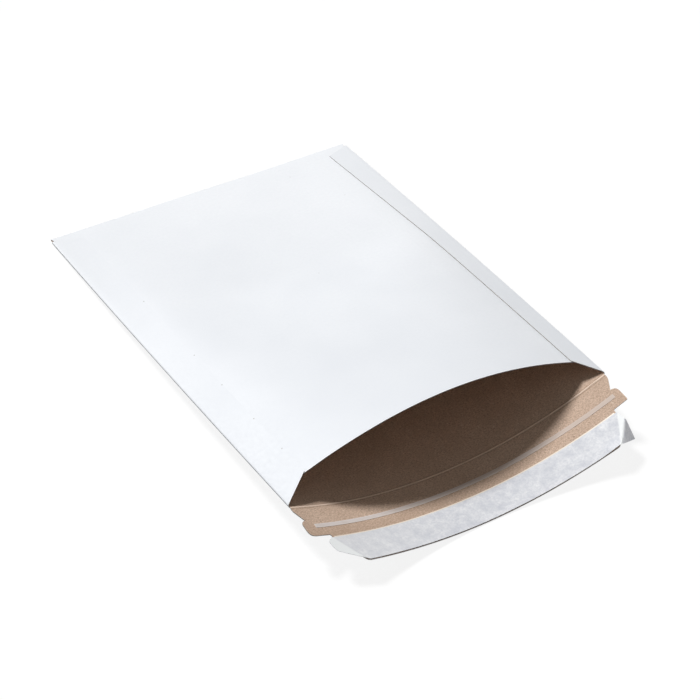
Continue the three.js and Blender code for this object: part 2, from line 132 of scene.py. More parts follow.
@dataclass(frozen=True)
class MailerShape:
    """Sizes of the folded and bowed board, and where any point of its blank lies."""

    board: float = 0.6 * MM
    panel_width: float = 241 * MM
    panel_length: float = 318 * MM
    closed_fold_radius: float = 0.45 * MM
    glue_line: float = 0.05 * MM
    front_setback: float = 13.9 * MM
    front_side_clearance: float = 1 * MM
    left_glue_flap: float = 19.9 * MM
    right_glue_flap: float = 18.3 * MM
    glue_mouth_taper: float = 14.6 * MM
    glue_end_relief: float = 2.5 * MM
    glue_end_taper: float = 8 * MM
    mouth_bow: float = math.radians(26.9)
    prop_depth: float = 171.5 * MM
    prop_blend: float = 22 * MM
    prop_slope: float = math.radians(18.3)
    mouth_slope: float = math.radians(22.9)
    prop_rise: float = 3 * MM
    mouth_rise: float = 20.6 * MM
    rise_power: float = 0.75
    flap_length: float = 47.1 * MM
    flap_ease: float = 0.11
    wave_height: float = 0.2 * MM
    wave_window: float = 1.6
    # Each wave's share of the height, its turns across and along, and its phase.
    waves: tuple[tuple[float, float, float, float], ...] = (
        (0.5, 23, 17, 0.6),
        (0.3, 47, -29, 2.1),
        (0.2, 71, 83, 4.0),
    )
    crease_height: float = 0.26 * MM
    crease_width: float = 0.5 * MM
    crease_end: float = 118 * MM
    crease_fade: float = 6 * MM

    @property
    def half_width(self) -> float:
        """Half of the folded panel's width."""
        return self.panel_width / 2

    @property
    def side_fold_radius(self) -> float:
        """Radius of the side folds at the board's middle."""
        return self.closed_fold_radius + (self.board + self.glue_line) / 2

    @property
    def side_fold_length(self) -> float:
        """How much of the blank one side fold takes up."""
        return math.pi * self.side_fold_radius

    @property
    def fold_start(self) -> float:
        """Distance from the middle at which the side folds start."""
        return self.half_width - self.side_fold_length / 2

    @property
    def fold_end(self) -> float:
        """Distance from the middle, on the blank, at which the side folds end."""
        return self.half_width + self.side_fold_length / 2

    @property
    def front_start(self) -> float:
        """Place along the blank at which the front panel starts, after the closed fold."""
        return self.panel_length + math.pi * self.closed_fold_radius

    @property
    def front_end(self) -> float:
        """Place along the blank of the front panel's edge at the mouth."""
        return self.front_start + self.panel_length - self.front_setback

    @property
    def front_reach(self) -> float:
        """Half width of the front panel, which stops short of the side folds."""
        return self.fold_start - self.front_side_clearance

    def glue_flap(self, side: Side) -> float:
        """Width of one glue flap."""
        return self.left_glue_flap if side is Side.LEFT else self.right_glue_flap

    def ramp(self, distance: float) -> float:
        """Nothing before zero and the distance after it, rounded over prop_blend each way."""
        if distance <= -self.prop_blend:
            return 0.0
        if distance >= self.prop_blend:
            return distance
        return (distance + self.prop_blend) ** 2 / (4 * self.prop_blend)

    def bow(self, t: Array) -> Array:
        """Half angle of the arc that the back panel and the flap make across the pack."""
        flap = self.mouth_bow * (1 + self.flap_ease * t / self.flap_length)
        panel = self.mouth_bow * (1 - t / self.panel_length)
        return np.maximum(np.where(t < 0, flap, panel), TINY)

    def strip_slope(self, y: float) -> float:
        """Slope of the glued side strips, from flat at the closed end."""
        deep = self.prop_slope / (self.panel_length - self.prop_depth)
        span = self.prop_depth - self.front_setback
        shallow = (self.mouth_slope - self.prop_slope) / span
        bent = (deep - shallow) * self.ramp(self.prop_depth - y)
        return deep * (self.panel_length - y) - bent

    def rise(self, y: float) -> float:
        """Height of the front panel's middle over its two seams."""
        share = self.ramp(self.prop_depth - y) / (self.prop_depth - self.front_setback)
        behind = min(1.0, (self.panel_length - y) / (self.panel_length - self.prop_depth))
        return self.prop_rise * behind + (self.mouth_rise - self.prop_rise) * share**self.rise_power

    def back(self, s: Array, t: Array | float) -> Surface:
        """Back panel and flap: an arc across the pack whose lowest line lies on the ground."""
        along = np.broadcast_to(np.asarray(t, float), np.shape(s))
        radius = self.half_width / self.bow(along)
        angle = s / radius
        height = self.board / 2 + 2 * radius * np.sin(angle / 2) ** 2
        points = stacked(radius * np.sin(angle), along, height)
        return Surface(points, stacked(-np.sin(angle), 0, np.cos(angle)))

    def side_fold(self, side: Side, y: float) -> tuple[Array, float, float]:
        """One side fold at one station.

        Args:
            side: Which side fold.
            y: The station along the pack.

        Returns:
            Its centre, the back panel's tilt where it starts, and how far it turns.
        """
        start = self.back(np.array([side.value * self.fold_start]), y)
        centre = start.at(self.side_fold_radius)[0]
        tilt = self.fold_start / self.half_width * float(self.bow(np.array([y]))[0])
        return centre, tilt, math.pi - tilt - self.strip_slope(y)

    def strip(self, side: Side, y: float, inset: Array, height: float) -> Surface:
        """The straight glued strip, at distances in from the fold and a height over its centre."""
        centre, _, _ = self.side_fold(side, y)
        slope = self.strip_slope(y)
        sine, cosine = math.sin(slope), math.cos(slope)
        x = centre[0] + side.value * (sine * height - cosine * inset)
        z = centre[2] + cosine * height + sine * inset
        inward = np.array([-side.value * sine, 0, -cosine])
        points = stacked(x, y, z)
        return Surface(points, np.broadcast_to(inward, points.shape))

    def wrap(self, side: Side, past: Array, y: float) -> Surface:
        """Side fold and the glue flap that follows it, at distances past the fold's start."""
        centre, tilt, turn = self.side_fold(side, y)
        angle = tilt + turn * past / self.side_fold_length
        inward = stacked(-side.value * np.sin(angle), 0, np.cos(angle))
        fold = centre - self.side_fold_radius * inward
        flat = self.strip(side, y, past - self.side_fold_length, self.side_fold_radius)
        over = (past > self.side_fold_length)[:, None]
        return Surface(np.where(over, flat.points, fold), np.where(over, flat.inward, inward))

    def front(self, s: Array, y: float) -> Surface:
        """Front panel: flat under the glue flaps, its crowned middle leaving them smoothly."""
        height = self.side_fold_radius - self.board - self.glue_line
        seam = {side: self.fold_start - self.glue_flap(side) for side in Side}
        left, right = (
            self.strip(side, y, np.array([self.glue_flap(side)]), height).points[0]
            for side in Side
        )
        rise = self.rise(y)
        half = (right[0] - left[0]) / 2
        power = 2.0
        if rise > TINY:
            power = max(power, math.tan(self.strip_slope(y)) * half / rise)
        middle = (seam[Side.RIGHT] - seam[Side.LEFT]) / 2
        across = np.clip((s - middle) / ((seam[Side.RIGHT] + seam[Side.LEFT]) / 2), -1, 1)
        z = left[2] + (right[2] - left[2]) * (across + 1) / 2 + rise * (1 - abs(across) ** power)
        slope = -rise * power * np.sign(across) * abs(across) ** (power - 1) / half
        length = np.hypot(1, slope)
        points = stacked(left[0] + half * (across + 1), y, z)
        inward = stacked(slope / length, 0, -1 / length)
        for side in Side:
            under = side.value * s > seam[side]
            inset = self.fold_start - np.abs(s[under])
            flat = self.strip(side, y, inset, height)
            points[under], inward[under] = flat.points, flat.inward
        return Surface(points, inward)

    def closed_fold(self, s: Array, t: float) -> Surface:
        """The fold across the closed end, from the back panel to the front panel."""
        angle = (t - self.panel_length) / self.closed_fold_radius
        y = self.panel_length + self.closed_fold_radius * math.sin(angle)
        z = self.board / 2 + self.closed_fold_radius * (1 - math.cos(angle))
        points = stacked(s, y, z)
        inward = np.array([0, -math.sin(angle), math.cos(angle)])
        return Surface(points, np.broadcast_to(inward, points.shape))

    def relief(self, s: Array, t: Array | float) -> Array:
        """Fine height of the sheet over its plain shape: faint waves, and the mouth crease's bead.

        The waves die out towards the glued strips, where two layers lie on each other.

        Args:
            s: Places across the blank.
            t: Places along it.

        Returns:
            Heights towards the inner face.
        """
        free = self.fold_start - max(self.left_glue_flap, self.right_glue_flap)
        window = np.clip(self.wave_window * (1 - (s / free) ** 2), 0, 1)
        waves = 1.0
        for height, across, along, phase in self.waves:
            waves = waves + height * np.sin(across * s + along * t + phase)
        ends = np.clip(self.crease_end - np.abs(s), 0, self.crease_fade) / self.crease_fade
        bead = np.exp(-((np.asarray(t) / self.crease_width) ** 2)) * ends
        return self.wave_height * waves * window + self.crease_height * bead

    def sheet_at(self, s: Array, t: float) -> Surface:
        """The folded board at one place along its blank.

        Args:
            s: Places across the blank.
            t: The place along it.

        Returns:
            The board's middle surface there, with its fine relief.
        """
        if t >= self.front_start:
            found = self.front(s, self.panel_length - (t - self.front_start))
        elif t > self.panel_length:
            found = self.closed_fold(s, t)
        else:
            found = self.back(s, t)
            points, inward = found.points.copy(), found.inward.copy()
            for side in Side:
                beyond = side.value * s > self.fold_start
                if t >= 0 and beyond.any():
                    bent = self.wrap(side, np.abs(s[beyond]) - self.fold_start, t)
                    points[beyond], inward[beyond] = bent.points, bent.inward
            found = Surface(points, inward)
        return Surface(found.at(self.relief(s, t)), found.inward)


@dataclass(frozen=True)
class Corner:
    """A corner of the flap's flat outline.

    Args:
        reach: Its distance from the middle.
        depth: Its distance from the mouth crease.
        size: How far back from it its rounding starts, or zero for a sharp corner.
    """

    reach: float
    depth: float
    size: float = 0.0

    def points(self, before: "Corner", after: "Corner", cells: int) -> list[Point]:
        """The corner's own point, or the points that round it.

        Args:
            before: The outline's corner before it.
            after: The outline's corner after it.
            cells: How many straight pieces the rounding has.

        Returns:
            Points of reach and depth, in the outline's order.
        """
        vertex = np.array((self.reach, self.depth))
        if not self.size:
            return [(self.reach, self.depth)]
        ends = []
        for other in (before, after):
            way = np.array((other.reach, other.depth)) - vertex
            ends.append(vertex + way / np.linalg.norm(way) * self.size)
        share = np.linspace(0, 1, cells + 1)[:, None]
        found = (1 - share) ** 2 * ends[0] + 2 * share * (1 - share) * vertex + share**2 * ends[1]
        return [(float(reach), float(depth)) for reach, depth in found]


@dataclass(frozen=True)
class FlapOutline:
    """The closure flap's die-cut outline, from the mouth crease outwards."""

    shoulder: Corner = Corner(120 * MM, 2.4 * MM, 2.4 * MM)
    notch: Corner = Corner(115.2 * MM, 11.2 * MM)
    tab_near: Corner = Corner(119.2 * MM, 12 * MM, 3.6 * MM)
    left_tab_end: Corner = Corner(119.2 * MM, 23.6 * MM, 4.4 * MM)
    right_tab_end: Corner = Corner(119.2 * MM, 23.6 * MM, 0.9 * MM)
    neck: Corner = Corner(106 * MM, 23.6 * MM, 1.2 * MM)
    chamfer: Corner = Corner(106 * MM, 27 * MM)
    tip: Corner = Corner(93.4 * MM, 47.1 * MM, 2.2 * MM)
    tip_shift: float = 1.7 * MM
    corner_cells: int = 5

    def points(self, shape: MailerShape, side: Side) -> list[Point]:
        """Half of the flap's outline, from the mouth crease to the tip.

        Args:
            shape: The board that the flap runs on from.
            side: Which half.

        Returns:
            Points of reach from the middle and depth from the crease.
        """
        shift = side.value * self.tip_shift
        tab_end = self.left_tab_end if side is Side.LEFT else self.right_tab_end
        shifted = [
            replace(corner, reach=corner.reach + shift)
            for corner in (self.neck, self.chamfer, self.tip)
        ]
        start, end = Corner(shape.fold_start, 0.0), Corner(0.0, shape.flap_length)
        ring = [start, self.shoulder, self.notch, self.tab_near, tab_end, *shifted, end]
        found = [(start.reach, start.depth)]
        for before, corner, after in zip(ring, ring[1:], ring[2:]):
            found += corner.points(before, after, self.corner_cells)
        return found


@dataclass
class Lamina:
    """A closed sheet in the making: rows of places with two heights over each.

    Args:
        low: Height of the outer face over the middle surface.
        high: Height of the inner face.
    """

    low: float
    high: float

    def __post_init__(self) -> None:
        """Starts with no rows."""
        self.rows: list[Surface] = []
        self.blank: list[Array] = []
        self.rims: list[Array] = []

    def add(self, surface: Surface, s: Array, t: float, rim: Array | float = 1.0) -> None:
        """Adds one row.

        Args:
            surface: The row's middle surface.
            s: Its places across the blank.
            t: Its place along the blank.
            rim: Distance of each place from the nearest cut edge.
        """
        self.rows.append(surface)
        self.blank.append(stacked(s, t, 0))
        self.rims.append(np.broadcast_to(np.asarray(rim, float), s.shape))

    def build(self, name: str) -> bpy.types.Object:
        """Closes the rows into one solid sheet.

        Args:
            name: The piece's name.

        Returns:
            The piece, with its blank coordinates and rim distances as attributes.
        """
        count, width = len(self.rows), len(self.blank[0])
        points, marks, rims = [], [], []
        for height, mark in ((self.low, 0.0), (self.high, 1.0)):
            points += [row.at(height) for row in self.rows]
            marks += [place + (0, 0, mark) for place in self.blank]
            rims += self.rims
        places = np.concatenate(points)
        index = np.arange(2 * count * width).reshape(2, count, width)
        low, high = index
        quads, kinds = [], []

        def lay(a: Array, b: Array, c: Array, d: Array, face: Face) -> None:
            """Adds four-sided faces from the corner numbers given."""
            block = np.stack([x.ravel() for x in (a, b, c, d)], 1)
            quads.append(block)
            kinds.append(np.full(len(block), face.value))

        lay(high[:-1, :-1], high[:-1, 1:], high[1:, 1:], high[1:, :-1], Face.KRAFT)
        lay(low[:-1, :-1], low[1:, :-1], low[1:, 1:], low[:-1, 1:], Face.WHITE)
        lay(low[:-1, 0], high[:-1, 0], high[1:, 0], low[1:, 0], Face.CUT)
        lay(high[:-1, -1], low[:-1, -1], low[1:, -1], high[1:, -1], Face.CUT)
        lay(low[0, :-1], low[0, 1:], high[0, 1:], high[0, :-1], Face.CUT)
        lay(high[-1, :-1], high[-1, 1:], low[-1, 1:], low[-1, :-1], Face.CUT)
        return mesh_object(
            name, places, np.concatenate(quads), np.concatenate(kinds),
            np.concatenate(marks), np.concatenate(rims),
        )


def mesh_object(
    name: str, places: Array, quads: Array, kinds: Array, marks: Array, rims: Array
) -> bpy.types.Object:
    """A mesh object from numbered corners, with repeated places joined and empty faces dropped.

    Args:
        name: The object's name.
        places: Coordinates of the corners.
        quads: Four corner numbers for each face.
        kinds: The material number of each face.
        marks: The blank coordinates of each corner.
        rims: The distance of each corner from the nearest cut edge.

    Returns:
        The object, linked to the scene, with smooth faces and sharp cut edges.
    """
    cells = np.round(places / SAME_PLACE).astype(np.int64)
    _, first, joined = np.unique(cells, axis=0, return_index=True, return_inverse=True)
    quads = joined.reshape(-1)[quads]
    faces, face_kinds = [], []
    for quad, kind in zip(quads.tolist(), kinds.tolist()):
        ring = [corner for i, corner in enumerate(quad) if corner != quad[i - 1]]
        if len(set(ring)) == len(ring) >= 3:
            faces.append(ring)
            face_kinds.append(kind)
    mesh = bpy.data.meshes.new(name)
    mesh.from_pydata(places[first].tolist(), [], faces)
    mesh.polygons.foreach_set("material_index", np.array(face_kinds, np.int32))
    mesh.polygons.foreach_set("use_smooth", np.ones(len(faces), bool))
    mesh.set_sharp_from_angle(angle=SHARP_ANGLE)
    held = mesh.attributes.new(BLANK, "FLOAT_VECTOR", "POINT")
    held.data.foreach_set("vector", marks[first].astype(np.float32).ravel())
    near = mesh.attributes.new(RIM, "FLOAT", "POINT")
    near.data.foreach_set("value", rims[first].astype(np.float32))
    mesh.validate()
    made = bpy.data.objects.new(name, mesh)
    bpy.context.scene.collection.objects.link(made)
    return made


class NodeSet:
    """A node tree in the making, with short ways to add and join its nodes."""

    def __init__(self, tree: bpy.types.NodeTree) -> None:
        """Starts with an empty tree."""
        self.tree = tree
        tree.nodes.clear()

    def join(self, source: Socket, target: Socket) -> None:
        """Joins one node's output to another's input."""
        self.tree.links.new(source, target)

    def node(
        self, kind: str, values: dict[str | int, object] | None = None, **settings: object
    ) -> bpy.types.Node:
        """Adds a node.

        Args:
            kind: The node's type without its ShaderNode prefix.
            values: Input names or numbers, with a value or the output to join for each.
            **settings: The node's own settings.

        Returns:
            The new node.
        """
        made = self.tree.nodes.new("ShaderNode" + kind)
        for key, setting in settings.items():
            setattr(made, key, setting)
        for key, value in (values or {}).items():
            if isinstance(value, Socket):
                self.join(value, made.inputs[key])
            else:
                made.inputs[key].default_value = value
        return made

    def math(self, operation: str, first: Socket, second: Socket | float = 0.0) -> Socket:
        """One sum on values; an operation that needs a single value leaves the second out."""
        return self.node("Math", {0: first, 1: second}, operation=operation).outputs[0]


@dataclass(frozen=True)
class Grain:
    """Noise on the blank.

    Args:
        size: Size of its largest features.
        detail: How many finer layers it has.
        rough: How strong the finer layers are.
        stretch: How much closer together its features lie along each axis.
        ends: The part of its values that is brought to a full range.
    """

    size: float
    detail: float = 3
    rough: float = 0.55
    stretch: Triple = (1, 1, 1)
    ends: Point = NOISE_SPREAD


@dataclass(frozen=True)
class Tint:
    """A colour that is laid over another one as some value says.

    Args:
        color: The colour laid over.
        share: Its share at each end of the value's range.
        ends: That range.
    """

    color: Color
    share: Point
    ends: Point = UNIT


class Recipe(NodeSet):
    """A procedural material in the making."""

    def __init__(self, name: str) -> None:
        """Starts a material of the given name with one principled shader."""
        self.material = bpy.data.materials.new(name)
        self.material.use_nodes = True
        super().__init__(self.material.node_tree)
        self.shader = self.node("BsdfPrincipled")
        self.node("OutputMaterial", {"Surface": self.shader.outputs[0]})

    def blank(self, stretch: Triple = (1, 1, 1)) -> Socket:
        """The place on the flat blank, in metres, stretched along each axis."""
        place = self.node("Attribute", attribute_name=BLANK, attribute_type="GEOMETRY")
        values = {0: place.outputs["Vector"], 1: stretch}
        return self.node("VectorMath", values, operation="MULTIPLY").outputs[0]

    def axis(self, name: str) -> Socket:
        """One coordinate on the blank: X across, Y along, Z from 0 outside to 1 inside."""
        return self.node("SeparateXYZ", {0: self.blank()}).outputs[name]

    def rim(self) -> Socket:
        """The distance from the nearest cut edge."""
        return self.node("Attribute", attribute_name=RIM, attribute_type="GEOMETRY").outputs["Fac"]

    def away(self, value: Socket, middle: float) -> Socket:
        """How far a value is from a middle, whichever way."""
        return self.math("ABSOLUTE", self.math("SUBTRACT", value, middle))

    def ranged(self, value: Socket, ends: Point, to: Point) -> Socket:
        """A value brought from one range into another, and held there."""
        limits = {"From Min": ends[0], "From Max": ends[1], "To Min": to[0], "To Max": to[1]}
        return self.node("MapRange", {"Value": value, **limits}).outputs["Result"]

    def noise(self, grain: Grain) -> Socket:
        """Noise with a grain's features, from 0 to 1."""
        values = {"Scale": 1 / grain.size, "Detail": grain.detail, "Roughness": grain.rough}
        return self.node("TexNoise", {"Vector": self.blank(grain.stretch), **values}).outputs["Fac"]

    def cloud(self, grain: Grain, to: Point = UNIT) -> Socket:
        """Noise whose usual values are brought to the range given."""
        return self.ranged(self.noise(grain), grain.ends, to)

    def spot(self, middle: Triple, radius: float) -> Socket:
        """One inside a small round mark on the blank and zero outside it, with a soft rim."""
        distance = self.node("VectorMath", {0: self.blank(), 1: middle}, operation="DISTANCE")
        return self.ranged(distance.outputs["Value"], (radius * SOFT_CORE, radius), FADE)

    def mixed(self, share: Socket, first: Socket | Color, second: Color) -> Socket:
        """A colour or a node's output, and a second colour laid over it by a share."""
        made = self.node("Mix", data_type="RGBA")
        found = {socket.identifier: socket for socket in made.inputs}
        self.join(share, found["Factor_Float"])
        if isinstance(first, Socket):
            self.join(first, found["A_Color"])
        else:
            found["A_Color"].default_value = (*first, 1)
        found["B_Color"].default_value = (*second, 1)
        return next(socket for socket in made.outputs if socket.identifier == "Result_Color")

    def tinted(self, tone: Socket | Color, value: Socket, tint: Tint) -> Socket:
        """A tone with a tint laid over it as a value says."""
        return self.mixed(self.ranged(value, tint.ends, tint.share), tone, tint.color)

    def bump(self, height: Socket, depth: float, strength: float) -> None:
        """Gives the shader a bump whose full height is depth metres."""
        made = self.node("Bump", {"Height": height, "Distance": depth, "Strength": strength})
        self.join(made.outputs["Normal"], self.shader.inputs["Normal"])

    def finish(
        self, tone: Socket, roughness: Socket | float, specular: float | None = None
    ) -> bpy.types.Material:
        """Gives the shader its colour and its gloss.

        Args:
            tone: The colour.
            roughness: The roughness, as a value or a node's output.
            specular: The specular level, where it isn't the usual one.

        Returns:
            The finished material.
        """
        self.join(tone, self.shader.inputs["Base Color"])
        if isinstance(roughness, Socket):
            self.join(roughness, self.shader.inputs["Roughness"])
        else:
            self.shader.inputs["Roughness"].default_value = roughness
        if specular is not None:
            self.shader.inputs["Specular IOR Level"].default_value = specular
        return self.material


@dataclass(frozen=True)
class WhiteFace:
    """Clay-coated white outer face of the board, with painted shade in several places and a painted
    highlight along its cut edges.
    """

    light: Color = (0.905, 0.93, 0.965)
    # The dull tone serves both the fine mottle and the painted shade.
    dull: Color = (0.765, 0.795, 0.84)
    broad: Grain = Grain(60 * MM, 2)
    broad_share: Point = (-0.14, 0.14)
    fine: Grain = Grain(2.2 * MM, 4, 0.6)
    fine_share: Point = (0, 0.25)
    closed_end: float = 318.7 * MM
    # Painted shade: the coating is duller away from the closed end and towards the left, and more
    # so over the glue flaps.
    painted_shade_lean: float = -0.9
    painted_shade_range: Point = (-20 * MM, 420 * MM)
    glued: Point = (121.5 * MM, 122.2 * MM)
    glued_painted_shade: Point = (0, 0.34)
    # Lighter band along the cut edges: partly burnished coating, partly painted highlight.
    edge: Tint = Tint((0.93, 0.94, 0.95), (0.8, 0), (0.2 * MM, 0.7 * MM))
    chip_and_tick_shade: Tint = Tint((0.42, 0.41, 0.40), (0, 0.8))
    speck_radius: float = 0.42 * MM
    specks: tuple[Point, ...] = ((0.0616, 0.3390), (0.0809, 0.3833), (0.0115, 0.4611))
    # Ticks of painted shade along the left glue flap's cut edge.
    seam_tick_radius: float = 0.62 * MM
    seam_tick_line: float = -141.2 * MM
    seam_shade_ticks: tuple[float, ...] = (0.2145, 0.1448, 0.1096, 0.0711, 0.0386)
    dots_per_metre: float = 24.0
    dot_choice: Point = (0.62, 0.64)
    dot_radius: Point = (0.006, 0.012)
    dot_share: Point = (0.45, 0)
    # Painted shade along the lower part of each side fold, which faces down, out of the lamp's
    # light.
    fold_shade: Color = (0.15, 0.16, 0.18)
    fold_shade_grain: Grain = Grain(12 * MM, ends=(0.35, 0.65))
    fold_shade_share: Point = (0.78, 1)
    fold_middle: float = 120.05 * MM
    fold_band: Point = (0.665 * MM, 0.95 * MM)
    fibre: Grain = Grain(1.1 * MM, 5, 0.6, (1, 0.4, 1))
    bump: Point = (0.04 * MM, 0.35)
    roughness: Point = (0.42, 0.56)
    specular: float = 0.42

    def clean(self, r: Recipe, fine: Socket) -> Socket:
        """The clean coating's colour, duller away from the closed end, towards the left and over
        the glue flap: painted shade.

        Args:
            r: The material in the making.
            fine: Fine noise.

        Returns:
            The colour.
        """
        across = r.axis("X")
        lean = r.math("MULTIPLY", across, self.painted_shade_lean)
        lean = r.math("ADD", lean, r.away(r.axis("Y"), self.closed_end))
        share = r.ranged(lean, self.painted_shade_range, UNIT)
        share = r.math("ADD", share, r.ranged(across, self.glued, self.glued_painted_shade))
        share = r.math("ADD", share, r.cloud(self.broad, self.broad_share))
        tone = r.mixed(share, self.light, self.dull)
        return r.tinted(tone, fine, Tint(self.dull, self.fine_share))

    def chips_and_seam_shade(self, r: Recipe) -> Socket:
        """How far the coating darkens: 1 in a speck or in a tick of painted shade along the left
        seam, less in chance dots where the coating is gone.
        """
        cells = r.node("TexVoronoi", {"Vector": r.blank(), "Scale": self.dots_per_metre})
        chosen = r.node("SeparateColor", {0: cells.outputs["Color"]}).outputs[0]
        dot = r.ranged(cells.outputs["Distance"], self.dot_radius, self.dot_share)
        found = r.math("MULTIPLY", r.ranged(chosen, self.dot_choice, UNIT), dot)
        marks = [((s, t, 0), self.speck_radius) for s, t in self.specks]
        # Ticks of painted shade along the left seam.
        marks += [((self.seam_tick_line, t, 0), self.seam_tick_radius) for t in self.seam_shade_ticks]
        for middle, radius in marks:
            found = r.math("MAXIMUM", found, r.spot(middle, radius))
        return found

    def fold_shaded(self, r: Recipe) -> Socket:
        """How much painted shade lies along the lower part of each side fold, broken by noise."""
        reach = r.math("ABSOLUTE", r.axis("X"))
        band = r.ranged(r.away(reach, self.fold_middle), self.fold_band, FADE)
        return r.math("MULTIPLY", band, r.cloud(self.fold_shade_grain, self.fold_shade_share))

    def material(self) -> bpy.types.Material:
        """The face's material."""
        r = Recipe("white_face")
        fine = r.cloud(self.fine)
        tone = r.tinted(self.clean(r, fine), self.chips_and_seam_shade(r), self.chip_and_tick_shade)
        tone = r.tinted(tone, r.rim(), self.edge)
        tone = r.mixed(self.fold_shaded(r), tone, self.fold_shade)
        r.bump(r.noise(self.fibre), *self.bump)
        return r.finish(tone, r.ranged(fine, UNIT, self.roughness), self.specular)


@dataclass(frozen=True)
class KraftFace:
    """Plain brown inner face of the board, with its fibres, flecks and mouth crease."""

    light: Color = (0.85, 0.655, 0.525)
    dark: Color = (0.42, 0.292, 0.208)
    fibre: Grain = Grain(0.9 * MM, 5, 0.72, (0.7, 1.25, 1), (0.34, 0.66))
    bump: Point = (0.06 * MM, 0.6)
    cloud: Grain = Grain(20 * MM)
    cloud_share: Point = (0, 0.28)
    flecks: tuple[tuple[Grain, Color], ...] = (
        (Grain(1.1 * MM, 2, 0.4, (0.6, 1.2, 1), (0.66, 0.76)), (0.30, 0.19, 0.12)),
        (Grain(1.3 * MM, 2, 0.4, (1.1, 0.5, 1), (0.66, 0.78)), (0.92, 0.78, 0.66)),
    )
    fleck_share: Point = (0, 0.5)
    shade_along: Point = (-24 * MM, -14 * MM)
    shade_across: Point = (-30 * MM, 50 * MM)
    shade_share: Point = (0.3, 0)
    # Painted shade in the mouth crease's two grooves, and a pale line on its bead, partly worn
    # fibre and partly painted highlight.
    groove_shade: Color = (0.34, 0.22, 0.15)
    grooves: Point = (-0.95 * MM, 0.85 * MM)
    groove_shade_share: Point = (0.6, 0)
    score_highlight: Color = (0.98, 0.80, 0.66)
    score_middle: float = -0.05 * MM
    line_width: Point = (0.2 * MM, 0.7 * MM)
    line_break: Grain = Grain(6 * MM)
    line_share: Point = (0.55, 0.95)
    speck: Color = (0.16, 0.07, 0.05)
    speck_middle: Triple = (77.1 * MM, -23.2 * MM, 1)
    speck_radius: float = 0.5 * MM
    roughness: Point = (0.72, 0.88)
    specular: float = 0.25

    def creased(self, r: Recipe, tone: Socket) -> Socket:
        """The colour with the mouth crease's lines: a pale middle line, partly worn fibre and
        partly painted highlight, between two grooves darkened with painted shade.
        """
        along, broken = r.axis("Y"), r.cloud(self.line_break, self.line_share)
        lines = [(middle, self.groove_shade_share, self.groove_shade) for middle in self.grooves]
        for middle, share, color in (*lines, (self.score_middle, FADE, self.score_highlight)):
            line = r.ranged(r.away(along, middle), self.line_width, share)
            tone = r.mixed(r.math("MULTIPLY", line, broken), tone, color)
        return tone

    def material(self) -> bpy.types.Material:
        """The face's material."""
        r = Recipe("kraft_face")
        fibre = r.cloud(self.fibre)
        tone = r.mixed(fibre, self.dark, self.light)
        tone = r.mixed(r.cloud(self.cloud, self.cloud_share), tone, self.dark)
        for grain, color in self.flecks:
            tone = r.mixed(r.cloud(grain, self.fleck_share), tone, color)
        near = r.ranged(r.axis("Y"), self.shade_along, self.shade_share)
        left = r.ranged(r.axis("X"), self.shade_across, FADE)
        tone = r.mixed(r.math("MULTIPLY", near, left), tone, self.dark)
        tone = self.creased(r, tone)
        tone = r.mixed(r.spot(self.speck_middle, self.speck_radius), tone, self.speck)
        r.bump(fibre, *self.bump)
        return r.finish(tone, r.ranged(fibre, UNIT, self.roughness), self.specular)


@dataclass(frozen=True)
class CutEdge:
    """The board's cut edge: a core with the thin white coating at its outer rim, and painted shade
    at the mouth.
    """

    core: Color = (0.31, 0.285, 0.27)
    grain: Grain = Grain(0.8 * MM, 4, 0.6, (1, 1, 0.0006))
    gap: Tint = Tint((0.17, 0.15, 0.14), (0, 0.5), NOISE_SPREAD)
    # Painted shade on the front panel's cut edge at the mouth, which faces away from the lamp.
    mouth: Tint = Tint((0.15, 0.155, 0.19), (0, 0.85), (600 * MM, 601 * MM))
    tip: Tint = Tint((0.66, 0.65, 0.66), (0.8, 0), (-46.8 * MM, -46.6 * MM))
    coat: Tint = Tint((0.82, 0.82, 0.82), FADE, (0.16, 0.26))
    bump: Point = (0.05 * MM, 0.5)
    roughness: float = 0.85

    def material(self) -> bpy.types.Material:
        """The edge's material."""
        r = Recipe("cut_edge")
        grain = r.noise(self.grain)
        tone = r.tinted(self.core, grain, self.gap)
        for axis, tint in (("Y", self.mouth), ("Y", self.tip), ("Z", self.coat)):
            tone = r.tinted(tone, r.axis(axis), tint)
        r.bump(grain, *self.bump)
        return r.finish(tone, self.roughness)


@dataclass(frozen=True)
class MilkyTape:
    """Thin milky film through which the brown board shows faintly, more so towards the right."""

    film: Color = (0.71, 0.64, 0.60)
    fibre: Grain = Grain(1.6 * MM, 4, 0.6, (0.5, 1.2, 1))
    under: Tint = Tint((0.60, 0.48, 0.40), (0, 0.45))
    cloud: Grain = Grain(9 * MM, 2, stretch=(0.5, 1, 1))
    haze: Tint = Tint((0.77, 0.735, 0.74), (0, 0.6))
    thin: Tint = Tint((0.60, 0.48, 0.40), (0, 0.75), (-80 * MM, 90 * MM))
    edge: Color = (0.80, 0.745, 0.715)
    edge_width: Point = (0.3 * MM, 0.7 * MM)
    edge_across: Point = (-60 * MM, 90 * MM)
    edge_share: Point = (0.8, 0.15)
    bump: Point = (0.03 * MM, 0.4)
    roughness: Point = (0.5, 0.62)
    specular: float = 0.25

    def material(self) -> bpy.types.Material:
        """The film's material."""
        r = Recipe("tear_tape")
        fibre, cloud, across = r.cloud(self.fibre), r.cloud(self.cloud), r.axis("X")
        tone = r.tinted(self.film, fibre, self.under)
        tone = r.tinted(tone, cloud, self.haze)
        tone = r.tinted(tone, across, self.thin)
        rim = r.ranged(r.rim(), self.edge_width, FADE)
        share = r.math("MULTIPLY", rim, r.ranged(across, self.edge_across, self.edge_share))
        r.bump(fibre, *self.bump)
        roughness = r.ranged(cloud, UNIT, self.roughness)
        return r.finish(r.mixed(share, tone, self.edge), roughness, self.specular)


